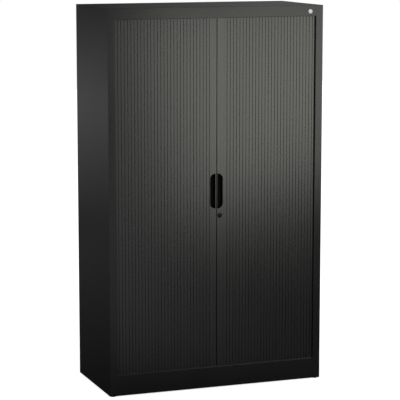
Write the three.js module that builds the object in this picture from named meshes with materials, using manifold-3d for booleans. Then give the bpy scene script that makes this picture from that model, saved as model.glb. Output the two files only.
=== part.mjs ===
// Tambour door cupboard: a folded steel carcass with two ribbed curtains that run in tracks
// round the front corners. Millimetres, +Z up, the front faces -Y, the origin is on the floor
// under the middle of the cupboard. Left and right are as seen from the front.

import * as THREE from "three";
import { mergeVertices } from "three/addons/utils/BufferGeometryUtils.js";
import Module from "manifold-3d";

const wasm = await Module();
wasm.setup();

// Overall size
const width = 1000;
const depth = 470;
const height = 1695;

// Folded steel carcass
const sheet = 1;
const footShow = 3;
const jambFace = 34;
const jambReturn = 5;
const rearFlange = 22;
const topRearFlange = 24;
const fasciaFace = 48.5;
const fasciaReturn = 4;
const fasciaLip = 9;
const kickTop = 96.4;
const kickReturn = 30;
const headRise = 14;
const linerInset = 21.4;

// Base rails and levelling feet
const railSheet = 2;
const railFlange = 30;
const railBase = 14;
const footRadius = 12;
const footPad = 7;
const footChamfer = 2;
const studRadius = 5;
const studLength = 50;
const studClearance = 0.4;
const footFromSide = 18;
const footFromFront = 14;
const footFromBack = 22;
const footSides = 24;

// Curtain and its tracks
const curtainRecess = 10;
const crestOut = 3;
const webOut = 1;
const webBack = 3;
const crestShare = 0.46;
const grooveShare = 0.32;
const slatsPerDoor = 10;
const ribsPerSlat = 3;
const curtainTail = 19.25;
const slatGap = 0.3;
const grooveHalf = 4;
const trackWall = 2.5;
const trackFloor = 3;
const trackDepth = 12;
const endPlay = 2;
const cornerRadius = 24;
const sideRun = 12;
const trackBackGap = 28;
const arcSteps = 8;

// Lead stiles
const joinGap = 3;
const stileWidth = 31.75;
const stileFrontOut = 5;
const stileThick = 12;
const stileWall = 2.5;
const stilePlay = 1.5;
const tongueHalf = 3.4;
const tongueSeat = 6;

// Finger cups
const cupMiddle = 887;
const cupHeight = 152;
const cupWidth = 22.5;
const cupCorner = 21;
const cupWall = 1.2;
const cupDepth = 14;
const cupFromJoinLeft = 7.4;
const cupFromJoinRight = 4.4;
const cornerSteps = 6;

// Lock in the right stile, keeper on the left one
const lockFromJoin = 14;
const lockUnderCup = 33;
const ringRadius = 11;
const ringProud = 2.5;
const housingRadius = 8;
const housingLength = 17.8;
const barrelRadius = 5.6;
const barrelSunk = 0.8;
const barrelLength = 20.7;
const keyWidth = 1.8;
const keyHeight = 7.5;
const keyDepth = 9;
const nutRadius = 10.2;
const nutThick = 5;
const hookThick = 2;
const hookHub = 7;
const hookArm = 24;
const hookHalf = 4;
const beakWidth = 3;
const beakRise = 8;
const keeperHalf = 16;
const keeperThick = 2;
const postWidth = 3;
const postFromJoin = 3;
const postDepth = 11;
const postRise = 12;
const postAboveHook = 1;
const boreSides = 24;

// Shelves
const shelfCount = 3;
const slotsPerShelf = 6;
const shelfFrontGap = 38;
const shelfBackGap = 9;
const shelfFold = 25;
const shelfLip = 12;
const shelfSideGap = 3;
const ledgeSheet = 1.6;
const ledgeWidth = 14;
const ledgeDrop = 18;
const ledgeEndGap = 14;
const slotWide = 3.4;
const slotTall = 13;
const hookWide = 2.6;
const hookTall = 9;
const hookReach = 2.4;
const slotFromEnd = 52;

// Badge
const badgeRadius = 10;
const badgeProud = 1;
const badgeFromSide = 61.1;
const badgeFromTop = 27.6;

// Fits
const fit = 0.3;
const overrun = 5;

// Places that follow from the sizes
const front = -depth / 2 + badgeProud;
const back = depth / 2;
const side = width / 2;
const carcassBottom = footShow;
const underTop = height - sheet;
const jamb = side - jambFace;
const curtainY = front + curtainRecess + crestOut;
const runX = side - sideRun;
const cornerX = runX - cornerRadius;
const cornerY = curtainY + cornerRadius;
const trackHalf = grooveHalf + trackWall;
const trackTop = kickTop + sheet;
const trackBase = trackTop - trackDepth;
const fasciaBottom = height - fasciaFace;
const headUnder = fasciaBottom + headRise;
const headTrackMouth = headUnder - trackDepth;
const trackEnd = back - trackBackGap;
const backInner = back - 2 * sheet;
const linerX = side - linerInset - sheet;
const railX = side - sheet - fit;
const railInnerX = railX - railFlange;
const trackFrontFace = curtainY - trackHalf - fit;
const trackBackFace = curtainY + trackHalf + fit;
const cornerCut = linerX - cornerX;
const linerFront = trackBackFace + cornerCut;
const stileFront = curtainY - stileFrontOut;
const stileBack = stileFront + stileThick;
const joinHalf = joinGap / 2;
const stileEdge = joinHalf + stileWidth;
const slatWidth = (cornerX + curtainTail - stileEdge) / slatsPerDoor;
const curtainBottom = trackBase + trackFloor + endPlay;
const curtainTop = headUnder - trackFloor - endPlay;
const shelfFront = curtainY + shelfFrontGap - crestOut;
const shelfBack = backInner - shelfBackGap;
const shelfPitch = (headUnder - kickTop) / (shelfCount + 1);
const slotPitch = shelfPitch / slotsPerShelf;
const cupBack = stileFront + cupDepth + cupWall;
const lockHeight = cupMiddle - cupHeight / 2 - lockUnderCup;
const barrelFront = stileFront - ringProud + barrelSunk;
const hookFront = barrelFront + barrelLength;

// Finishes
const powderCoat = { color: 0x2b2c2e, roughness: 0.5, metalness: 0.1 };
const curtainPlastic = { color: 0x303133, roughness: 0.45, metalness: 0 };
const blackPlastic = { color: 0x0c0c0d, roughness: 0.4, metalness: 0 };
const trackPlastic = { color: 0x1c1d1e, roughness: 0.55, metalness: 0 };
const platedSteel = { color: 0xb4b7ba, roughness: 0.35, metalness: 1 };
const zincSteel = { color: 0x8f9397, roughness: 0.45, metalness: 1 };

const cupboard = new THREE.Group();

function addPiece(name, geometry, finish) {
  const piece = new THREE.Mesh(geometry, new THREE.MeshStandardMaterial(finish));
  piece.name = name;
  cupboard.add(piece);
}

// Joining and cutting of closed shapes

function toSolid(geometry) {
  const bare = geometry.clone();
  bare.deleteAttribute("normal");
  bare.deleteAttribute("uv");
  const welded = mergeVertices(bare);
  return new wasm.Manifold(new wasm.Mesh({
    numProp: 3,
    vertProperties: Float32Array.from(welded.attributes.position.array),
    triVerts: Uint32Array.from(welded.index.array),
  }));
}

function toGeometry(solid) {
  const mesh = solid.getMesh();
  const geometry = new THREE.BufferGeometry();
  geometry.setAttribute("position", new THREE.BufferAttribute(mesh.vertProperties, 3));
  geometry.setIndex(new THREE.BufferAttribute(mesh.triVerts, 1));
  geometry.computeVertexNormals();
  return geometry;
}

function join(...shapes) {
  return toGeometry(shapes.map(toSolid).reduce((whole, next) => whole.add(next)));
}

function cut(shape, ...cutters) {
  return toGeometry(cutters.map(toSolid).reduce((whole, next) => whole.subtract(next), toSolid(shape)));
}

// Prisms: an outline drawn square to X, Y or Z and carried along that axis

function prism(outline, low, high, across, up, along) {
  const shape = new THREE.Shape(outline);
  const geometry = new THREE.ExtrudeGeometry(shape, { depth: high - low, bevelEnabled: false });
  const start = along.clone().multiplyScalar(along.x + along.y + along.z > 0 ? low : -high);
  return geometry.applyMatrix4(new THREE.Matrix4().makeBasis(across, up, along).setPosition(start));
}

const xAxis = new THREE.Vector3(1, 0, 0);
const yAxis = new THREE.Vector3(0, 1, 0);
const zAxis = new THREE.Vector3(0, 0, 1);

function prismX(outlineYZ, low, high) {
  return prism(outlineYZ, low, high, yAxis, zAxis, xAxis);
}

function prismY(outlineXZ, low, high) {
  return prism(outlineXZ, low, high, xAxis, zAxis, yAxis.clone().negate());
}

function prismZ(outlineXY, low, high) {
  return prism(outlineXY, low, high, xAxis, yAxis, zAxis);
}

function point(a, b) {
  return new THREE.Vector2(a, b);
}

function rectangle(a0, a1, b0, b1) {
  return [point(a0, b0), point(a1, b0), point(a1, b1), point(a0, b1)];
}

function block(xs, ys, zs) {
  const [x0, x1] = [...xs].sort((a, b) => a - b);
  return prismZ(rectangle(x0, x1, ys[0], ys[1]), zs[0], zs[1]);
}

function uprightPost(radiusLow, radiusHigh, x, y, low, high, sides) {
  return new THREE.CylinderGeometry(radiusHigh, radiusLow, high - low, sides)
    .rotateX(Math.PI / 2)
    .translate(x, y, (low + high) / 2);
}

function levelPost(radiusFront, radiusBack, x, z, low, high, sides) {
  return new THREE.CylinderGeometry(radiusBack, radiusFront, high - low, sides)
    .translate(x, (low + high) / 2, z);
}

// A folded sheet: its outer bends are listed, and the sheet lies to the left of that path

function shifted(path, distance) {
  return path.map((here, i) => {
    const before = path[Math.max(i - 1, 0)];
    const after = path[Math.min(i + 1, path.length - 1)];
    const arriving = (i ? here.clone().sub(before) : after.clone().sub(here)).normalize();
    const leaving = (i < path.length - 1 ? after.clone().sub(here) : arriving.clone()).normalize();
    const normals = point(-arriving.y - leaving.y, arriving.x + leaving.x);
    return here.clone().addScaledVector(normals, (2 * distance) / normals.lengthSq());
  });
}

function folded(path, thickness) {
  return [...path, ...shifted(path, thickness).reverse()];
}

// Side panels: front flange with its return beside the opening, skin, rear flange

for (const [word, hand] of [["left", -1], ["right", 1]]) {
  const path = [
    point(hand * jamb, front + jambReturn),
    point(hand * jamb, front),
    point(hand * side, front),
    point(hand * side, back),
    point(hand * (side - rearFlange), back),
  ];
  addPiece(`side_panel_${word}`, prismZ(folded(path, hand * sheet), carcassBottom, underTop), powderCoat);
}

// Top panel: a flat sheet over the side panels with a flange turned down at the back

const topSkin = block([-side, side], [front, back], [underTop, height]);
const topFlangeX = side - rearFlange - fit;
const topFlange = block([-topFlangeX, topFlangeX], [back - sheet, back], [height - topRearFlange, height]);
addPiece("top_panel", join(topSkin, topFlange), powderCoat);

// Back panel: lies inside the rear flanges and runs down to the bottom of the carcass

const backX = side - sheet - fit;
addPiece(
  "back_panel",
  block([-backX, backX], [backInner, back - sheet], [carcassBottom, underTop]),
  powderCoat,
);

// Fascia over the opening: face, return under it and a lip turned up

const fasciaPath = [
  point(front + fasciaReturn, fasciaBottom + fasciaLip),
  point(front + fasciaReturn, fasciaBottom),
  point(front, fasciaBottom),
  point(front, underTop),
];
addPiece("top_fascia", prismX(folded(fasciaPath, -sheet), -jamb, jamb), powderCoat);

// Kick panel under the opening: sill, face and a return at the floor

const kickPath = [
  point(trackFrontFace, kickTop),
  point(front, kickTop),
  point(front, carcassBottom),
  point(front + kickReturn, carcassBottom),
];
addPiece("kick_panel", prismX(folded(kickPath, sheet), -jamb, jamb), powderCoat);

// Floor panel: deck cut off at the corners the curtain runs round, a front flange with the lip
// that carries the track, and side and rear flanges that stand on the base rails

const deckOutline = [
  point(-cornerX, trackBackFace),
  point(cornerX, trackBackFace),
  point(linerX, linerFront),
  point(linerX, backInner),
  point(-linerX, backInner),
  point(-linerX, linerFront),
];
const deckUnder = kickTop - sheet;
addPiece(
  "floor_panel",
  join(
    prismZ(deckOutline, deckUnder, kickTop),
    block([-cornerX, cornerX], [trackBackFace, trackBackFace + sheet], [trackBase - sheet, kickTop]),
    block([-cornerX, cornerX], [trackFrontFace, trackBackFace + sheet], [trackBase - sheet, trackBase]),
    block([-linerX, sheet - linerX], [linerFront, backInner], [trackBase, kickTop]),
    block([linerX - sheet, linerX], [linerFront, backInner], [trackBase, kickTop]),
    block([-linerX, linerX], [backInner - sheet, backInner], [trackBase, kickTop]),
  ),
  powderCoat,
);

// Head panel: the inner ceiling, notched round the jamb returns; the top tracks hang under it

const notchY = front + jambReturn + fit;
const headX = side - sheet - fit;
const headOutline = [
  point(-jamb + fit, front + sheet),
  point(jamb - fit, front + sheet),
  point(jamb - fit, notchY),
  point(headX, notchY),
  point(headX, backInner),
  point(-headX, backInner),
  point(-headX, notchY),
  point(-jamb + fit, notchY),
];
addPiece("head_panel", prismZ(headOutline, headUnder, headUnder + sheet), powderCoat);

// Base rails: channels between the front flange and the back, with holes for the levelling studs

const footX = side - footFromSide;
const footYs = { front: front + footFromFront, back: back - footFromBack };
for (const [word, hand] of [["left", -1], ["right", 1]]) {
  const path = [
    point(hand * railInnerX, railBase),
    point(hand * railX, railBase),
    point(hand * railX, trackBase),
    point(hand * railInnerX, trackBase),
  ];
  const channel = prismY(folded(path, hand * railSheet), front + sheet + fit, backInner - fit);
  const holes = Object.values(footYs).map((y) => uprightPost(
    studRadius + studClearance,
    studRadius + studClearance,
    hand * footX,
    y,
    railBase - overrun,
    railBase + railSheet + overrun,
    footSides,
  ));
  addPiece(`base_rail_${word}`, cut(channel, ...holes), powderCoat);
  for (const [end, y] of Object.entries(footYs)) {
    const foot = join(
      uprightPost(footRadius, footRadius, hand * footX, y, 0, footPad, footSides),
      uprightPost(footRadius, footRadius - footChamfer, hand * footX, y, footPad, footPad + footChamfer, footSides),
      uprightPost(studRadius, studRadius, hand * footX, y, footPad, footPad + footChamfer + studLength, footSides),
    );
    addPiece(`levelling_foot_${end}_${word}`, foot, blackPlastic);
  }
}

// Liners: inner walls that keep the stored goods off the curtains, slotted for the shelf ledges,
// with a front strip turned in behind the corner of the track

const slotYs = [shelfFront + slotFromEnd, shelfBack - slotFromEnd];
const slotRows = Array.from({ length: (shelfCount + 1) * slotsPerShelf - 1 }, (_, i) => i + 1);
const turnIn = cornerCut - sheet;
for (const [word, hand] of [["left", -1], ["right", 1]]) {
  const slots = slotYs.flatMap((y) => slotRows.map((row) => block(
    [hand * (linerX - overrun), hand * (linerX + sheet + overrun)],
    [y - slotWide / 2, y + slotWide / 2],
    [kickTop + row * slotPitch - slotTall / 2, kickTop + row * slotPitch + slotTall / 2],
  )));
  const wall = block([hand * linerX, hand * (linerX + sheet)], [linerFront, backInner], [trackBase, headUnder]);
  const strip = prismZ(
    folded([
      point(hand * linerX, linerFront + sheet),
      point(hand * linerX, linerFront),
      point(hand * (linerX - turnIn), linerFront - turnIn),
    ], hand * sheet),
    trackTop + fit,
    headTrackMouth - fit,
  );
  addPiece(`liner_${word}`, cut(join(wall, strip), ...slots), powderCoat);
}

// Tracks: a groove along the front, round the corner and back along the side

function trackLine(hand, out) {
  const arc = Array.from({ length: arcSteps + 1 }, (_, i) => (i / arcSteps) * (Math.PI / 2));
  return [
    point(hand * joinHalf, curtainY - out),
    ...arc.map((turn) => point(
      hand * (cornerX + (cornerRadius + out) * Math.sin(turn)),
      cornerY - (cornerRadius + out) * Math.cos(turn),
    )),
    point(hand * (runX + out), trackEnd),
  ];
}

function trackBand(hand, outFrom, outTo, low, high) {
  return prismZ([...trackLine(hand, outFrom), ...trackLine(hand, outTo).reverse()], low, high);
}

for (const [word, hand] of [["left", -1], ["right", 1]]) {
  addPiece(`bottom_track_${word}`, join(
    trackBand(hand, -trackHalf, trackHalf, trackBase, trackBase + trackFloor),
    trackBand(hand, grooveHalf, trackHalf, trackBase, trackTop),
    trackBand(hand, -trackHalf, -grooveHalf, trackBase, trackTop),
  ), trackPlastic);
  addPiece(`top_track_${word}`, join(
    trackBand(hand, -trackHalf, trackHalf, headUnder - trackFloor, headUnder),
    trackBand(hand, grooveHalf, trackHalf, headTrackMouth, headUnder),
    trackBand(hand, -trackHalf, -grooveHalf, headTrackMouth, headUnder),
  ), trackPlastic);
}

// Shelves and the ledges that hook into the liner slots and carry them

const shelfX = linerX - shelfSideGap;
for (let number = 1; number <= shelfCount; number += 1) {
  const slotZ = kickTop + number * slotsPerShelf * slotPitch;
  const ledgeTop = slotZ + slotTall;
  const shelfTop = ledgeTop + sheet;
  const path = [
    point(shelfFront + shelfLip, shelfTop - shelfFold),
    point(shelfFront, shelfTop - shelfFold),
    point(shelfFront, shelfTop),
    point(shelfBack, shelfTop),
    point(shelfBack, shelfTop - shelfFold),
  ];
  addPiece(`shelf_${number}`, prismX(folded(path, -sheet), -shelfX, shelfX), powderCoat);
  for (const [word, hand] of [["left", -1], ["right", 1]]) {
    const section = [
      point(hand * linerX, ledgeTop - ledgeDrop),
      point(hand * linerX, ledgeTop),
      point(hand * (linerX - ledgeWidth), ledgeTop),
    ];
    const angle = prismY(
      folded(section, hand * ledgeSheet),
      shelfFront + ledgeEndGap,
      shelfBack - ledgeEndGap,
    );
    const hooks = slotYs.map((y) => block(
      [hand * (linerX - ledgeSheet), hand * (linerX + sheet + hookReach)],
      [y - hookWide / 2, y + hookWide / 2],
      [slotZ - hookTall / 2, slotZ + hookTall / 2],
    ));
    addPiece(`shelf_ledge_${number}_${word}`, join(angle, ...hooks), zincSteel);
  }
}

// Finger cups: an outline with a straight edge by the join and round outer corners

function cupOutline(hand, fromJoin, grow) {
  const low = cupMiddle - cupHeight / 2;
  const high = cupMiddle + cupHeight / 2;
  const turnX = fromJoin + cupWidth - cupCorner;
  const quarter = Array.from({ length: cornerSteps + 1 }, (_, i) => (i / cornerSteps) * (Math.PI / 2));
  const reach = cupCorner + grow;
  return [
    point(hand * (fromJoin - grow), low - grow),
    ...quarter.map((turn) => point(
      hand * (turnX + reach * Math.sin(turn)),
      low + cupCorner - reach * Math.cos(turn),
    )),
    ...quarter.map((turn) => point(
      hand * (turnX + reach * Math.cos(turn)),
      high - cupCorner + reach * Math.sin(turn),
    )),
    point(hand * (fromJoin - grow), high + grow),
  ];
}

// Lead stiles: channels open at the back, with plugs at both ends that run in the tracks

const stileLow = trackTop + stilePlay;
const stileHigh = headTrackMouth - stilePlay;
const wallInner = joinHalf + stileWall;
const wallOuter = stileEdge - stileWall;
for (const [word, hand, fromJoin] of [["left", -1, cupFromJoinLeft], ["right", 1, cupFromJoinRight]]) {
  const section = [
    point(hand * joinHalf, stileFront),
    point(hand * stileEdge, stileFront),
    point(hand * stileEdge, stileBack),
    point(hand * wallOuter, stileBack),
    point(hand * wallOuter, stileFront + stileWall),
    point(hand * wallInner, stileFront + stileWall),
    point(hand * wallInner, stileBack),
    point(hand * joinHalf, stileBack),
  ];
  const tongueXs = [hand * joinHalf, hand * stileEdge];
  const tongueYs = [curtainY - tongueHalf, curtainY + tongueHalf];
  const body = join(
    prismZ(section, stileLow, stileHigh),
    block(tongueXs, tongueYs, [curtainBottom, stileLow + tongueSeat]),
    block(tongueXs, tongueYs, [stileHigh - tongueSeat, curtainTop]),
  );
  const cutters = [
    prismY(cupOutline(hand, fromJoin, cupWall + fit), stileFront - overrun, stileBack + overrun),
  ];
  if (hand > 0) {
    cutters.push(levelPost(
      housingRadius + fit,
      housingRadius + fit,
      lockFromJoin,
      lockHeight,
      stileFront - overrun,
      stileFront + stileWall + overrun,
      boreSides,
    ));
  }
  addPiece(`lead_stile_${word}`, cut(body, ...cutters), curtainPlastic);
  addPiece(`finger_cup_${word}`, cut(
    prismY(cupOutline(hand, fromJoin, cupWall), stileFront, cupBack),
    prismY(cupOutline(hand, fromJoin, 0), stileFront - overrun, stileFront + cupDepth),
  ), blackPlastic);
}

// Lock: housing with its ring, fixing nut, turning barrel with the key slot, and the hook

const housingBack = stileFront + housingLength;
addPiece("lock_housing", cut(
  join(
    levelPost(ringRadius, ringRadius, lockFromJoin, lockHeight, stileFront - ringProud, stileFront, boreSides),
    levelPost(housingRadius, housingRadius, lockFromJoin, lockHeight, stileFront - ringProud, housingBack, boreSides),
  ),
  levelPost(
    barrelRadius + fit,
    barrelRadius + fit,
    lockFromJoin,
    lockHeight,
    stileFront - ringProud - overrun,
    housingBack + overrun,
    boreSides,
  ),
), platedSteel);

const nutFront = stileFront + stileWall + fit;
addPiece("lock_nut", cut(
  levelPost(nutRadius, nutRadius, lockFromJoin, lockHeight, nutFront, nutFront + nutThick, 6),
  levelPost(
    housingRadius + fit,
    housingRadius + fit,
    lockFromJoin,
    lockHeight,
    nutFront - overrun,
    nutFront + nutThick + overrun,
    boreSides,
  ),
), zincSteel);

addPiece("lock_barrel", cut(
  levelPost(barrelRadius, barrelRadius, lockFromJoin, lockHeight, barrelFront, hookFront, boreSides),
  block(
    [lockFromJoin - keyWidth / 2, lockFromJoin + keyWidth / 2],
    [barrelFront - overrun, barrelFront + keyDepth],
    [lockHeight - keyHeight / 2, lockHeight + keyHeight / 2],
  ),
), platedSteel);

// The hook hangs down unlocked. A quarter turn lifts its arm to the left and its beak rises
// behind the keeper's post.
const hookOutline = [
  point(lockFromJoin - hookHalf, lockHeight),
  point(lockFromJoin - hookHalf, lockHeight - hookArm + beakWidth),
  point(lockFromJoin - beakRise, lockHeight - hookArm + beakWidth),
  point(lockFromJoin - beakRise, lockHeight - hookArm),
  point(lockFromJoin + hookHalf, lockHeight - hookArm),
  point(lockFromJoin + hookHalf, lockHeight),
];
addPiece("lock_hook", join(
  levelPost(hookHub, hookHub, lockFromJoin, lockHeight, hookFront, hookFront + hookThick, boreSides),
  prismY(hookOutline, hookFront, hookFront + hookThick),
), zincSteel);

const keeperXs = [-stileEdge, -joinHalf];
const postBottom = lockHeight + hookHalf + postAboveHook;
addPiece("lock_keeper", join(
  block(keeperXs, [stileBack, stileBack + keeperThick], [lockHeight - keeperHalf, lockHeight + keeperHalf]),
  block(
    [-postFromJoin - postWidth, -postFromJoin],
    [stileBack, stileBack + postDepth],
    [postBottom, postBottom + postRise],
  ),
), zincSteel);

// Curtains: slats of three ribs each along the track, the last ones already in the corner

function onTrack(hand, along, out) {
  if (along <= cornerX) {
    return point(hand * along, curtainY - out);
  }
  const turn = (along - cornerX) / cornerRadius;
  const reach = cornerRadius + out;
  return point(hand * (cornerX + reach * Math.sin(turn)), cornerY - reach * Math.cos(turn));
}

for (const [word, hand] of [["left", -1], ["right", 1]]) {
  for (let number = 1; number <= slatsPerDoor; number += 1) {
    const start = stileEdge + (number - 1) * slatWidth + slatGap;
    const pitch = (slatWidth - slatGap) / ribsPerSlat;
    const ribs = Array.from({ length: ribsPerSlat }, (_, i) => start + (i + 0.5) * pitch);
    const outline = [
      onTrack(hand, start, webOut),
      ...ribs.flatMap((middle) => [
        onTrack(hand, middle - (pitch * (1 - grooveShare)) / 2, webOut),
        onTrack(hand, middle - (pitch * crestShare) / 2, crestOut),
        onTrack(hand, middle + (pitch * crestShare) / 2, crestOut),
        onTrack(hand, middle + (pitch * (1 - grooveShare)) / 2, webOut),
      ]),
      onTrack(hand, start + ribsPerSlat * pitch, webOut),
      onTrack(hand, start + ribsPerSlat * pitch, -webBack),
      ...ribs.toReversed().map((middle) => onTrack(hand, middle, -webBack)),
      onTrack(hand, start, -webBack),
    ];
    const name = `curtain_slat_${word}_${String(number).padStart(2, "0")}`;
    addPiece(name, prismZ(outline, curtainBottom, curtainTop), curtainPlastic);
  }
}

// Badge: a plain round disc on the fascia

addPiece("front_badge", levelPost(
  badgeRadius,
  badgeRadius,
  side - badgeFromSide,
  height - badgeFromTop,
  front - badgeProud,
  front,
  boreSides,
), platedSteel);

export default cupboard;
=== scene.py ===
"""A steel office cupboard with two ribbed curtains that slide round its front corners, dressed on
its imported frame. Metres, +Z up, the front faces -Y, left and right are as seen from the front."""

import math

import bmesh
import bpy
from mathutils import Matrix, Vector


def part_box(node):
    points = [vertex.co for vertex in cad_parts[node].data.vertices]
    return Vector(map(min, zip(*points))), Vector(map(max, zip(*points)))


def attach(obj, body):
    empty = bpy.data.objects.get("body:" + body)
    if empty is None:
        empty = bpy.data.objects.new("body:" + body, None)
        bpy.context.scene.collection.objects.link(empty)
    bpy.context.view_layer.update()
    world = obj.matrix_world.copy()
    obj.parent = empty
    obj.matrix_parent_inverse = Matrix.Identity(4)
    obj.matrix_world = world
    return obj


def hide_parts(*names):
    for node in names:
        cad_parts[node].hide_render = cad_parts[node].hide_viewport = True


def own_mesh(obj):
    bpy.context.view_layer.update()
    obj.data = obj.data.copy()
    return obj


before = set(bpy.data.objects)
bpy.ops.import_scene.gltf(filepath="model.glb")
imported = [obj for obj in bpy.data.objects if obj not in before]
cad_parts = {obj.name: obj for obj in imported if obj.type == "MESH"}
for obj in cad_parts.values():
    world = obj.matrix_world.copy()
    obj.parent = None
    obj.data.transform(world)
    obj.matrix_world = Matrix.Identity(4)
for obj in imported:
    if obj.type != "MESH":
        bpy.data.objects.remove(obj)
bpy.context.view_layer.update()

# Side panels. Each is one sheet of 1 mm steel folded on a press brake: a return and a flange
# beside the opening, the skin, and a flange at the back. The polyester powder coat is sprayed on
# and baked: satin black, with the faint orange peel of melted powder.
mm = 0.001
hands = {"left": -1, "right": 1}
sheet = 1 * mm
bend = 1.6 * mm
jamb_return = 5 * mm
rear_flange = 22 * mm
bend_steps = 4
same_place = 0.001 * mm
crease = math.radians(38)


def linear(code):
    """The linear colour, with its alpha, of an sRGB hex code."""
    parts = [int(code[i : i + 2], 16) / 255 for i in (1, 3, 5)]
    return [p / 12.92 if p <= 0.04045 else ((p + 0.055) / 1.055) ** 2.4 for p in parts] + [1]


def add_node(owner, kind, values={}, links={}, **settings):
    """Adds a node with its settings, its input values and the outputs that feed it."""
    node = owner.node_tree.nodes.new("ShaderNode" + kind)
    for name, setting in settings.items():
        setattr(node, name, setting)
    for name, value in values.items():
        node.inputs[name].default_value = value
    for name, output in links.items():
        owner.node_tree.links.new(output, node.inputs[name])
    return node


# levels of the noise between which a finish drifts from one tone or roughness to the other
tone_stops = (0.35, 0.65)
gloss_stops = (0.3, 0.7)
drift_detail = 4
grain_detail = 2


def make_finish(name, tones, rough, patch, grain, relief, drawn=(1, 1, 1), specular=0.5, metallic=0):
    """A finish whose two tones and two roughnesses drift over patches of a size, and whose fine
    grain of another size stands up by its relief. Drawn stretches both along an axis."""
    material = bpy.data.materials.new(name)
    material.use_nodes = True
    material.node_tree.nodes.clear()
    place = add_node(material, "TexCoord").outputs["Object"]
    along = add_node(material, "Mapping", {"Scale": drawn}, {"Vector": place}).outputs["Vector"]
    drift_size = {"Scale": 1 / patch, "Detail": drift_detail}
    drift = add_node(material, "TexNoise", drift_size, {"Vector": along}).outputs["Fac"]
    tone = add_node(material, "ValToRGB", links={"Fac": drift})
    for stop, position, code in zip(tone.color_ramp.elements, tone_stops, tones):
        stop.position = position
        stop.color = linear(code)
    ends = zip(("From Min", "From Max", "To Min", "To Max"), (*gloss_stops, *rough))
    gloss = add_node(material, "MapRange", dict(ends), {"Value": drift})
    grain_size = {"Scale": 1 / grain, "Detail": grain_detail}
    bumps = add_node(material, "TexNoise", grain_size, {"Vector": along}).outputs["Fac"]
    bump = add_node(material, "Bump", {"Strength": 1, "Distance": relief}, {"Height": bumps})
    surface = add_node(
        material,
        "BsdfPrincipled",
        {"Specular IOR Level": specular, "Metallic": metallic},
        {
            "Base Color": tone.outputs["Color"],
            "Roughness": gloss.outputs["Result"],
            "Normal": bump.outputs["Normal"],
        },
    )
    add_node(material, "OutputMaterial", links={"Surface": surface.outputs["BSDF"]})
    return material


def pull_out(bm, extruded, way):
    """Moves the new vertices of an extrusion along a way."""
    spots = [part for part in extruded["geom"] if isinstance(part, bmesh.types.BMVert)]
    bmesh.ops.translate(bm, verts=spots, vec=way)


def round_off(bm, parts, radius, segments, affect="EDGES"):
    """Rounds some edges of a mesh, or some corners of a flat one."""
    bmesh.ops.bevel(
        bm,
        geom=parts,
        offset=radius,
        offset_type="OFFSET",
        affect=affect,
        segments=segments,
        profile=0.5,
        clamp_overlap=True,
        material=-1,
    )


def fold_sheet(path, way, thick, radius):
    """Sheet metal over a path of bends, pulled along a way, with its thickness to the path's left."""
    bm = bmesh.new()
    corners = [bm.verts.new(spot) for spot in path]
    edges = [bm.edges.new(pair) for pair in zip(corners, corners[1:])]
    pull_out(bm, bmesh.ops.extrude_edge_only(bm, edges=edges), way)
    round_off(bm, [e for e in bm.edges if len(e.link_faces) == 2], radius, bend_steps)
    bmesh.ops.solidify(bm, geom=bm.faces[:], thickness=-thick)
    bmesh.ops.recalc_face_normals(bm, faces=bm.faces[:])
    return bm


def make_object(name, bm, finish):
    """An object of a bmesh in its finish, at the origin."""
    mesh = bpy.data.meshes.new(name)
    bm.to_mesh(mesh)
    bm.free()
    mesh.materials.append(finish)
    made = bpy.data.objects.new(name, mesh)
    bpy.context.scene.collection.objects.link(made)
    return made


def place_piece(name, bm, finish, slot, body, *nodes):
    """Makes a piece of a bmesh, in its finish, on its body, in the place of its CAD nodes."""
    piece = make_object(name, bm, finish)
    piece.data.shade_smooth()
    piece.data.set_sharp_from_angle(angle=crease)
    piece.modifiers.new("flat faces stay flat", "WEIGHTED_NORMAL").keep_sharp = True
    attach(piece, body)
    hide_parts(*nodes)
    return piece


powder_coat = make_finish(
    "satin_polyester_powder_coat",
    ("#131315", "#141416"),
    (0.2, 0.24),
    patch=260 * mm,
    grain=1.6 * mm,  # real orange peel is about 1 mm, drawn a little coarser so that it shows
    relief=0.006 * mm,
    specular=0.32,
)
steel = "powder_coated_steel"
for word, hand in hands.items():
    low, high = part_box(f"side_panel_{word}")
    jamb, side = sorted((low.x, high.x), key=abs)
    path = [
        Vector((jamb, low.y + jamb_return, low.z)),
        Vector((jamb, low.y, low.z)),
        Vector((side, low.y, low.z)),
        Vector((side, high.y, low.z)),
        Vector((side - hand * rear_flange, high.y, low.z)),
    ]
    panel = fold_sheet(path, Vector((0, 0, high.z - low.z)), hand * sheet, bend)
    place_piece(f"side_skin_{word}", panel, powder_coat, steel, "root", f"side_panel_{word}")

# Fascia and kick panel. Two more folded sheets between the side flanges: the fascia with a return
# and a lip over the opening, the kick panel with the sill on top and a return at the floor. Both
# lie flush with the side flanges, are spot-welded to them, and the coat fills the seams.
fascia_lip = 9 * mm
seam_lap = 0.4 * mm
low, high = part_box("top_fascia")
seam_x = low.x - seam_lap
path = [
    Vector((seam_x, high.y, low.z + fascia_lip)),
    Vector((seam_x, high.y, low.z)),
    Vector((seam_x, low.y, low.z)),
    Vector((seam_x, low.y, high.z)),
]
fascia = fold_sheet(path, Vector((-2 * seam_x, 0, 0)), -sheet, bend)
place_piece("fascia_sheet", fascia, powder_coat, steel, "root", "top_fascia")

sill_depth = 6.2 * mm
low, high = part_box("kick_panel")
path = [
    Vector((seam_x, low.y + sill_depth, high.z)),
    Vector((seam_x, low.y, high.z)),
    Vector((seam_x, low.y, low.z)),
    Vector((seam_x, high.y, low.z)),
]
kick = fold_sheet(path, Vector((-2 * seam_x, 0, 0)), sheet, bend)
place_piece("kick_sheet", kick, powder_coat, steel, "root", "kick_panel")

# Top, back, floor, head, base rails and liners. Flat or pressed sheets in the same coat. Their cut
# edges are deburred, and rounded by the coat.
panel_edge = 0.3 * mm
edge_steps = 2
flat_turn = math.radians(1)
sharp_turn = math.radians(40)


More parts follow.
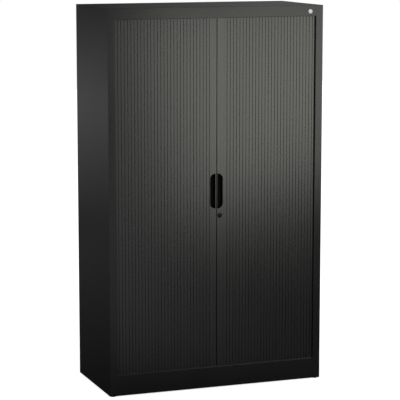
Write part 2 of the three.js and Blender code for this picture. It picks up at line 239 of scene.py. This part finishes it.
def take_solid(node):
    """A copy of a CAD node's mesh, merged, with its flats made whole."""
    bm = bmesh.new()
    bm.from_mesh(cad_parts[node].data)
    bmesh.ops.remove_doubles(bm, verts=bm.verts[:], dist=same_place)
    bmesh.ops.dissolve_limit(bm, angle_limit=flat_turn, verts=bm.verts[:], edges=bm.edges[:])
    return bm


def find_sharp(bm):
    """The edges at which a mesh turns sharply."""
    return [e for e in bm.edges if e.is_manifold and e.calc_face_angle() > sharp_turn]


def soften(node, radius):
    """A copy of a CAD node's mesh with all its sharp edges rounded."""
    bm = take_solid(node)
    round_off(bm, find_sharp(bm), radius, edge_steps)
    return bm


for node in (
    "top_panel",
    "back_panel",
    "floor_panel",
    "head_panel",
    "base_rail_left",
    "base_rail_right",
    "liner_left",
    "liner_right",
):
    place_piece(f"{node}_sheet", soften(node, panel_edge), powder_coat, steel, "root", node)

# Shelves and ledges. A shelf is a folded steel tray with a double fold at the front; its ledges
# are zinc-plated steel angles whose hooks hang in the liner's slots.
shelf_lip = 12 * mm
ledge_edge = 0.3 * mm
# passivated zinc is a dull silver metal, faintly mottled by its crystals
zinc_plate = make_finish(
    "passivated_zinc_plate",
    ("#85898c", "#a3a8ab"),
    (0.34, 0.5),
    patch=7 * mm,
    grain=0.6 * mm,
    relief=0.004 * mm,
    metallic=1,
)
zinc = "zinc_plated_steel"
for number in (1, 2, 3):
    low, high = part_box(f"shelf_{number}")
    path = [
        Vector((low.x, low.y + shelf_lip, low.z)),
        Vector((low.x, low.y, low.z)),
        Vector((low.x, low.y, high.z)),
        Vector((low.x, high.y, high.z)),
        Vector((low.x, high.y, low.z)),
    ]
    tray = fold_sheet(path, Vector((high.x - low.x, 0, 0)), -sheet, bend)
    place_piece(f"shelf_tray_{number}", tray, powder_coat, steel, "root", f"shelf_{number}")
    for word in hands:
        ledge = f"shelf_ledge_{number}_{word}"
        angle = soften(ledge, ledge_edge)
        place_piece(f"{ledge}_angle", angle, zinc_plate, zinc, "root", ledge)

# Curtain tracks. Grooves injection moulded in dark acetal that lead the curtains along the front,
# round the corner and back along the side. The bottom ones lie on a lip of the floor panel, and
# the top ones hang under the head panel.
track_edge = 0.6 * mm
# moulded acetal has an even, slightly waxy sheen
acetal = make_finish(
    "moulded_acetal",
    ("#131415", "#17181a"),
    (0.36, 0.44),
    patch=40 * mm,
    grain=0.8 * mm,
    relief=0.004 * mm,
    specular=0.3,
)
for word in hands:
    for place in ("bottom", "top"):
        track = f"{place}_track_{word}"
        groove = soften(track, track_edge)
        place_piece(f"{track}_groove", groove, acetal, "track_plastic", "root", track)

# Curtains. Ribs of rigid PVC extruded side by side with thin hinges between them, so that the
# sheet rolls round the corner. A front run gathers at the corner as its stile slides; a short run
# stays in the turn. Extrusion leaves fine streaks along the ribs.
rib_pitch = 15 * mm
rib_height = 3.4 * mm
crest_share = 0.87  # of the pitch
groove_share = 0.06
rib_round = 0.3 * mm
rib_steps = 3
curtain_ribs = 30
slat_count = 10
stile_gap = 0.3 * mm  # between the stile and the first rib
corner_radius = 24 * mm  # of the turn, at the middle of the sheet
track_to_line = 6.5 * mm  # from the track's outer side to the middle of the sheet
line_depth = 3 * mm  # from a rib's crest to the middle of the sheet
touch = 0.1 * mm  # nearer than this is the same place
extruded_pvc = make_finish(
    "extruded_rigid_pvc",
    ("#151516", "#171718"),
    (0.22, 0.26),
    patch=5 * mm,
    grain=0.9 * mm,
    relief=0.0015 * mm,
    drawn=(1, 1, 0.01),  # the streaks run up the ribs
)


def make_ribs(start, end, first, web, crest, back, low, high):
    """Ribs in a row along X from a first one, trimmed at a start and an end, as one solid sheet
    with a flat back. Web, crest and back are places along Y."""
    web_share = groove_share / 2
    crest_starts = web_share + (1 - crest_share - groove_share) / 2
    profile = (
        (0, web),
        (web_share, web),
        (crest_starts, crest),
        (1 - crest_starts, crest),
        (1 - web_share, web),
        (1, web),
    )
    bm = bmesh.new()
    outline = [bm.verts.new((first + share * rib_pitch, place, low)) for share, place in profile]
    edges = [bm.edges.new(pair) for pair in zip(outline, outline[1:])]
    bmesh.ops.spin(
        bm,
        geom=outline + edges,
        axis=(0, 0, 1),
        cent=(0, 0, 0),
        dvec=(rib_pitch, 0, 0),
        angle=0,
        steps=curtain_ribs - 1,
        use_duplicate=True,
    )
    bmesh.ops.remove_doubles(bm, verts=bm.verts[:], dist=same_place)
    for trim, way in ((start, -1), (end, 1)):
        bmesh.ops.bisect_plane(
            bm,
            geom=bm.verts[:] + bm.edges[:],
            plane_co=(trim, 0, 0),
            plane_no=(way, 0, 0),
            clear_outer=True,
        )
    ends = sorted((v for v in bm.verts if len(v.link_edges) == 1), key=lambda v: v.co.x)
    corners = [bm.verts.new((v.co.x, back, low)) for v in ends]
    for pair in ((ends[0], corners[0]), corners, (corners[1], ends[1])):
        bm.edges.new(pair)
    section = bmesh.ops.contextual_create(bm, geom=bm.edges[:])["faces"]
    pull_out(bm, bmesh.ops.extrude_face_region(bm, geom=section), (0, 0, high - low))
    bmesh.ops.recalc_face_normals(bm, faces=bm.faces[:])
    upright = [
        e
        for e in find_sharp(bm)
        if all(v.co.y < back - touch and start + touch < v.co.x < end - touch for v in e.verts)
        and abs(e.verts[0].co.z - e.verts[1].co.z) > touch
    ]
    round_off(bm, upright, rib_round, rib_steps)
    return bm


for word, hand in hands.items():
    corner_x = max(abs(spot.x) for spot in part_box(f"bottom_track_{word}"))
    corner_x -= track_to_line + corner_radius
    low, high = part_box(f"curtain_slat_{word}_01")
    start = min(abs(low.x), abs(high.x))
    first = start - stile_gap
    tail = first + curtain_ribs * rib_pitch
    places = (first, low.y + rib_height, low.y, high.y, low.z, high.z)
    runs = {
        "front": make_ribs(start, corner_x, *places),
        "corner": make_ribs(corner_x, tail, *places),
    }
    line_y = low.y + line_depth
    for v in runs["corner"].verts:
        turn = (v.co.x - corner_x) / corner_radius
        reach = corner_radius + line_y - v.co.y
        v.co.x = corner_x + reach * math.sin(turn)
        v.co.y = line_y + corner_radius - reach * math.cos(turn)
    if hand < 0:
        for bm in runs.values():
            bmesh.ops.scale(bm, vec=(-1, 1, 1), verts=bm.verts[:])
            bmesh.ops.recalc_face_normals(bm, faces=bm.faces[:])
    slats = [f"curtain_slat_{word}_{n:02d}" for n in range(1, slat_count + 1)]
    front = place_piece(
        f"curtain_front_{word}", runs["front"], extruded_pvc, "curtain_plastic", "root", *slats[:-1]
    )
    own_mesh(front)
    place_piece(
        f"curtain_corner_{word}", runs["corner"], extruded_pvc, "curtain_plastic", "root", slats[-1]
    )

# Lead stiles. Smooth channels of the same PVC that end the curtains, with plugs at both ends that
# run in the tracks, an opening for the finger cup, and in the right one the bore of the lock.
stile_edge = 0.4 * mm
join_edges = {"left": 1.2 * mm, "right": 0.6 * mm}  # the rounder edges where the stiles meet
join_steps = 5
for word in hands:
    stile = f"lead_stile_{word}"
    low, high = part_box(stile)
    join = min(low.x, high.x, key=abs)
    channel = take_solid(stile)
    beside_join = [
        e
        for e in find_sharp(channel)
        if all(abs(v.co.x - join) < touch and v.co.y < low.y + touch for v in e.verts)
    ]
    round_off(channel, beside_join, join_edges[word], join_steps)
    round_off(channel, find_sharp(channel), stile_edge, edge_steps)
    place_piece(
        f"{stile}_channel", channel, extruded_pvc, "curtain_plastic", f"{word}_curtain", stile
    )

# Finger cups. Black ABS cups pressed into the stiles, D-shaped, with a thin rim and a rounded
# floor. They are moulded with a fine spark-eroded grain. Their near-black tone and very low gloss
# are partly painted shade, for the deep shade inside a hooded cup.
painted_shade_abs = make_finish(
    "moulded_abs_with_painted_shade",
    ("#030303", "#050505"),
    (0.55, 0.65),
    patch=20 * mm,
    grain=0.7 * mm,
    relief=0.02 * mm,
    specular=0.06,
)
cup_corner = 21 * mm
cup_wall = 1.2 * mm
cup_floor_round = 5 * mm
corner_steps = 10
floor_steps = 5
for word in hands:
    low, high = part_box(f"finger_cup_{word}")
    inner, outer = sorted((low.x, high.x), key=abs)
    bm = bmesh.new()
    corners = ((inner, low.z), (outer, low.z), (outer, high.z), (inner, high.z))
    bm.faces.new([bm.verts.new((x, low.y, z)) for x, z in corners])
    outer_corners = [v for v in bm.verts if abs(v.co.x - outer) < touch]
    round_off(bm, outer_corners, cup_corner + cup_wall, corner_steps, "VERTICES")
    body = bmesh.ops.extrude_face_region(bm, geom=bm.faces[:], use_keep_orig=True)
    pull_out(bm, body, (0, high.y - low.y, 0))
    bmesh.ops.recalc_face_normals(bm, faces=bm.faces[:])
    mouth = min(bm.faces, key=lambda f: f.calc_center_median().y)
    bmesh.ops.inset_region(bm, faces=[mouth], thickness=cup_wall, use_even_offset=True)
    pit = bmesh.ops.extrude_discrete_faces(bm, faces=[mouth])["faces"][0]
    bmesh.ops.translate(bm, verts=pit.verts[:], vec=(0, high.y - low.y - cup_wall, 0))
    round_off(bm, pit.edges[:], cup_floor_round, floor_steps)
    place_piece(
        f"finger_cup_{word}_shell",
        bm,
        painted_shade_abs,
        "cup_plastic",
        f"{word}_curtain",
        f"finger_cup_{word}",
    )

# Lock. A cam lock: a turned housing with a ring, and a barrel with its key slot. A zinc-plated
# hexagon nut holds it in the right stile; its hook, cut from zinc-plated strip, catches the keeper
# on the left one.
plated = "plated_lock_metal"
# black nickel is a dark, slightly warm metal with a half-bright shine
black_nickel = make_finish(
    "black_nickel_plate",
    ("#1d1c1b", "#272624"),
    (0.3, 0.38),
    patch=5 * mm,
    grain=0.4 * mm,
    relief=0.002 * mm,
    metallic=1,
)


def turn_outline(outline, axis, centre, sides):
    """A turned part: an outline of radius and place along an axis, spun once round that axis."""
    along = Vector(axis)
    across = along.orthogonal().normalized()
    bm = bmesh.new()
    spots = [bm.verts.new(centre + across * radius + along * place) for radius, place in outline]
    edges = [bm.edges.new(pair) for pair in zip(spots, spots[1:] + spots[:1])]
    bmesh.ops.spin(
        bm,
        geom=spots + edges,
        cent=centre,
        axis=along,
        angle=math.tau,
        steps=sides,
        use_merge=True,
    )
    bmesh.ops.remove_doubles(bm, verts=bm.verts[:], dist=same_place)
    bmesh.ops.recalc_face_normals(bm, faces=bm.faces[:])
    return bm


low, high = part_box("lock_housing")
eye = Vector(((low.x + high.x) / 2, low.y, (low.z + high.z) / 2))
bore = 5.9 * mm
bore_chamfer = 0.6 * mm
ring_face = 9.2 * mm
ring_shoulder = 10.6 * mm
shoulder_drop = 0.7 * mm
ring_radius = 11 * mm
ring_dome = 2.2 * mm
ring_depth = 2.5 * mm
shank = 8 * mm
shank_end = 20.3 * mm
lathe_steps = 48
housing_outline = (
    (bore, bore_chamfer),
    (bore + bore_chamfer, 0),
    (ring_face, 0),
    (ring_shoulder, shoulder_drop),
    (ring_radius, ring_dome),
    (ring_radius, ring_depth),
    (shank, ring_depth),
    (shank, shank_end),
    (bore, shank_end),
)
nut_edge = 0.4 * mm
barrel_edge = 0.25 * mm
strip_edge = 0.3 * mm
housing = turn_outline(housing_outline, (0, 1, 0), eye, lathe_steps)
nut = soften("lock_nut", nut_edge)
barrel = soften("lock_barrel", barrel_edge)
hook = soften("lock_hook", strip_edge)
keeper = soften("lock_keeper", strip_edge)
place_piece("lock_housing_turned", housing, black_nickel, plated, "right_curtain", "lock_housing")
place_piece("lock_nut_hexagon", nut, zinc_plate, zinc, "right_curtain", "lock_nut")
place_piece("lock_barrel_cut", barrel, black_nickel, plated, "lock", "lock_barrel")
place_piece("lock_hook_strip", hook, zinc_plate, zinc, "lock", "lock_hook")
place_piece("lock_keeper_strip", keeper, zinc_plate, zinc, "left_curtain", "lock_keeper")

# Badge. A blank disc turned from aluminium and anodised, glued to the fascia, with a raised rim
# round a slightly sunk face. The anodising gives it a pale, soft shine.
badge_face = 8.2 * mm
face_sink = 0.35 * mm
rim_start = 8.8 * mm
rim_start_sink = 0.05 * mm
rim_top = 9.4 * mm
badge_radius = 10 * mm
rim_drop = 0.4 * mm
badge_depth = 1 * mm
badge_outline = (
    (0, face_sink),
    (badge_face, face_sink),
    (rim_start, rim_start_sink),
    (rim_top, 0),
    (badge_radius, rim_drop),
    (badge_radius, badge_depth),
    (0, badge_depth),
)
bright_aluminium = make_finish(
    "bright_anodised_aluminium",
    ("#aeb0b3", "#babcbf"),
    (0.4, 0.48),
    patch=4 * mm,
    grain=0.4 * mm,
    relief=0.002 * mm,
    metallic=1,
)
low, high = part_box("front_badge")
badge_middle = Vector(((low.x + high.x) / 2, low.y, (low.z + high.z) / 2))
badge = turn_outline(badge_outline, (0, 1, 0), badge_middle, lathe_steps)
place_piece("front_badge_disc", badge, bright_aluminium, plated, "root", "front_badge")

# Levelling feet. Black nylon pads moulded round a threaded stud that screws into the base rail, so
# that the cupboard stands level. Moulded nylon has a dull, slightly uneven sheen.
pad_radius = 12 * mm
pad_chamfer = 1.2 * mm
pad_wall_top = 6.2 * mm
shoulder_radius = 11.2 * mm
shoulder_height = 7.4 * mm
neck_radius = 9.2 * mm
pad_height = 9 * mm
thread_crest = 5 * mm
thread_root = 4.3 * mm
thread_start = 9.5 * mm
thread_pitch = 1.5 * mm
thread_turns = 32
stud_top = 59 * mm
foot_steps = 32
foot_outline = [
    (0, 0),
    (pad_radius - pad_chamfer, 0),
    (pad_radius, pad_chamfer),
    (pad_radius, pad_wall_top),
    (shoulder_radius, shoulder_height),
    (neck_radius, pad_height),
    (thread_crest, pad_height),
]
for turn in range(thread_turns):
    crest_place = thread_start + turn * thread_pitch
    foot_outline.append((thread_crest, crest_place))
    foot_outline.append((thread_root, crest_place + thread_pitch / 2))
foot_outline += [(thread_root, stud_top), (0, stud_top)]
nylon = make_finish(
    "moulded_nylon",
    ("#0a0a0b", "#0e0e0f"),
    (0.42, 0.5),
    patch=9 * mm,
    grain=0.6 * mm,
    relief=0.01 * mm,
    specular=0.3,
)
for end in ("front", "back"):
    for word in hands:
        node = f"levelling_foot_{end}_{word}"
        low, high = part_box(node)
        middle = Vector(((low.x + high.x) / 2, (low.y + high.y) / 2, low.z))
        foot = turn_outline(foot_outline, (0, 0, 1), middle, foot_steps)
        place_piece(f"{node}_turned", foot, nylon, "foot_plastic", f"foot_{end}_{word}", node)

# Studio floor and room. The floor is a pale sheet that is seen as white and keeps the cupboard's
# soft shadow. The room above it is seen as white too, and lights the cupboard softly.
floor_reach = 14
floor_seen = 0.7
floor_tone = (0.8, 0.8, 0.8, 1)
room_tone = (1, 1, 1, 1)
room_seen = 1.0
room_light = 0.7


def find_seen_rays(owner):
    """One where a ray comes from the camera, a gloss or a clear surface, and zero elsewhere."""
    rays = add_node(owner, "LightPath").outputs
    seen = rays["Is Camera Ray"]
    for kind in ("Is Glossy Ray", "Is Transmission Ray"):
        either = add_node(owner, "Math", links={0: seen, 1: rays[kind]}, operation="MAXIMUM")
        seen = either.outputs["Value"]
    return seen


pale_floor = bpy.data.materials.new("pale_floor")
pale_floor.use_nodes = True
pale_floor.node_tree.nodes.clear()
floor_rays = find_seen_rays(pale_floor)
floor_level = add_node(pale_floor, "MapRange", {"To Max": floor_seen}, {"Value": floor_rays})
floor_glow = add_node(pale_floor, "Emission", links={"Strength": floor_level.outputs["Result"]})
floor_matt = add_node(pale_floor, "BsdfDiffuse", {"Color": floor_tone})
floor_parts = {0: floor_glow.outputs["Emission"], 1: floor_matt.outputs["BSDF"]}
floor_both = add_node(pale_floor, "AddShader", links=floor_parts)
add_node(pale_floor, "OutputMaterial", links={"Surface": floor_both.outputs["Shader"]})
floor_sheet = bmesh.new()
bmesh.ops.create_grid(floor_sheet, x_segments=1, y_segments=1, size=floor_reach)
make_object("studio_floor", floor_sheet, pale_floor)

room = bpy.data.worlds.new("studio_room")
room.use_nodes = True
room.node_tree.nodes.clear()
room_span = {"To Min": room_light, "To Max": room_seen}
room_level = add_node(room, "MapRange", room_span, {"Value": find_seen_rays(room)})
room_links = {"Strength": room_level.outputs["Result"]}
room_glow = add_node(room, "Background", {"Color": room_tone}, room_links)
add_node(room, "OutputWorld", links={"Surface": room_glow.outputs["Background"]})
bpy.context.scene.world = room

# Key softbox. One large lamp ahead of the cupboard and to its right, rolled a little, which lays
# the slanting light on the upper half of the curtains. The camera doesn't see it.
softbox_place = (2.28, -3.8, 1.19)
softbox_width = 2.75
softbox_height = 1.5
softbox_power = 48
softbox_tint = (0.98, 1, 0.91)
softbox_roll = math.radians(14)
lamp = bpy.data.lights.new("key_softbox", "AREA")
lamp.shape = "RECTANGLE"
lamp.size = softbox_width
lamp.size_y = softbox_height
lamp.energy = softbox_power
lamp.color = softbox_tint
softbox = bpy.data.objects.new("key_softbox", lamp)
softbox.location = softbox_place
softbox.rotation_euler = Vector((0, 1, 0)).to_track_quat("-Z", "Y").to_euler()
softbox.rotation_euler.rotate_axis("Z", softbox_roll)
softbox.visible_camera = False
bpy.context.scene.collection.objects.link(softbox)

# Grey flags round the set, which only reflections see: a dark floor, with lighter patches of floor
# and wall ahead, to the sides and behind, so that the satin coat darkens towards the floor, as in
# the photograph.
# The flags are glowing sheets, not lamps. Their lighter patches are painted reflections, and their
# dark floor paints the shade that the coat's reflections show low down.
flag_radius = 5
flag_height = 7
flag_lift = 0.5 * mm
flag_sides = 48
painted_dark_reflection = 0.018
# each patch: its level, and its fades along an axis, in metres, from dark to light
painted_reflection_patches = {
    "wall behind, low": (0.062, ("Y", 0.0, 3.0), ("Z", 2.2, 1.8)),
    "wall behind, high": (0.17, ("Y", 0.0, 3.0), ("Z", 1.8, 2.2), ("X", 0.9, 2.2)),
    "floor and wall ahead": (0.52, ("Y", -0.3, -2.2), ("X", 0.95, 0.1)),
    "floor far ahead": (0.45, ("Y", -2.6, -3.8), ("X", 1.9, 0.9), ("Z", 0.6, 0.1)),
    "right wall": (0.8, ("X", 3.0, 4.5), ("Z", 0.3, 1.0)),
    "left wall": (1.05, ("X", -0.8, -2.5), ("Z", 0.1, 1.0), ("Y", 0.0, -1.0)),
    "floor to the right": (1.0, ("X", 0.9, 2.2), ("Y", -0.9, 0.5), ("Z", 1.2, 0.6)),
    "band at desk height": (0.23, ("Z", 0.0, 0.8), ("Z", 1.53, 0.8)),
}
painted_reflection_sheet = bpy.data.materials.new("painted_reflection_flags")
painted_reflection_sheet.use_nodes = True
painted_reflection_sheet.node_tree.nodes.clear()
flag_place = add_node(painted_reflection_sheet, "TexCoord").outputs["Object"]
flag_axes = add_node(painted_reflection_sheet, "SeparateXYZ", links={"Vector": flag_place}).outputs
flag_sum = {}
for level, *fades in painted_reflection_patches.values():
    patch = {}
    for axis, dark, light in fades:
        span = {"From Min": dark, "From Max": light, "To Max": level}
        fade = add_node(painted_reflection_sheet, "MapRange", span, {"Value": flag_axes[axis], **patch})
        patch = {"To Max": fade.outputs["Result"]}
    terms = {**flag_sum, 1: patch["To Max"]}
    total = add_node(painted_reflection_sheet, "Math", {0: painted_dark_reflection}, terms, operation="ADD")
    flag_sum = {0: total.outputs["Value"]}
painted_reflection_glow = add_node(painted_reflection_sheet, "Emission", links={"Strength": flag_sum[0]})
add_node(painted_reflection_sheet, "OutputMaterial", links={"Surface": painted_reflection_glow.outputs["Emission"]})
flags = bmesh.new()
bmesh.ops.create_circle(flags, cap_ends=True, segments=flag_sides, radius=flag_radius)
rim = [e for e in flags.edges if e.is_boundary]
pull_out(flags, bmesh.ops.extrude_edge_only(flags, edges=rim), (0, 0, flag_height))
bmesh.ops.translate(flags, verts=flags.verts[:], vec=(0, 0, flag_lift))
surround = make_object("painted_reflection_flags", flags, painted_reflection_sheet)
surround.visible_camera = False
surround.visible_diffuse = False
surround.visible_transmission = False
surround.visible_shadow = False

# Camera, solved from the cupboard's corners in the photograph: a long lens, a little above the
# cupboard and to its left.
camera_place = (-2.781, -7.508, 2.051)
camera_yaw = math.radians(20.36)
camera_pitch = math.radians(-8.78)
focal_length = 161.1
sensor_width = 36
look_level = math.radians(90)
lens = bpy.data.cameras.new("camera")
lens.lens = focal_length
lens.sensor_width = sensor_width
camera = bpy.data.objects.new("camera", lens)
camera.location = camera_place
camera.rotation_euler = (look_level + camera_pitch, 0, -camera_yaw)
bpy.context.scene.collection.objects.link(camera)
bpy.context.scene.camera = camera
bpy.context.scene.view_settings.view_transform = "Standard"
